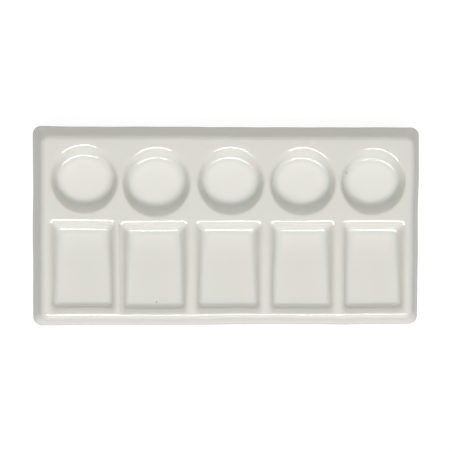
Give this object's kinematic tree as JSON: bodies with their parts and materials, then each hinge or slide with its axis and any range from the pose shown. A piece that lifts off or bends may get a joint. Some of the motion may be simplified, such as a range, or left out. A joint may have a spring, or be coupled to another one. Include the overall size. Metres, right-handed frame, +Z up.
{
  "type": "mixing palette",
  "caption": "Rectangular glazed porcelain palette with a row of round wells and a row of slanted rectangular wells for mixing watercolour.",
  "frame": {"origin": "centre of the foot plane that stands on the table", "axes": "+X along the length, +Y from the slant wells to the round wells, +Z up out of the wells"},
  "size_m": [0.2094, 0.108, 0.015],
  "materials": {
    "biscuit": "matte",
    "face_glaze": "gloss",
    "underside_glaze": "gloss"
  },
  "bodies": {
    "root": {"porcelain_body": "biscuit", "face_glaze": "face_glaze", "underside_glaze": "underside_glaze"}
  },
  "joints": []
}
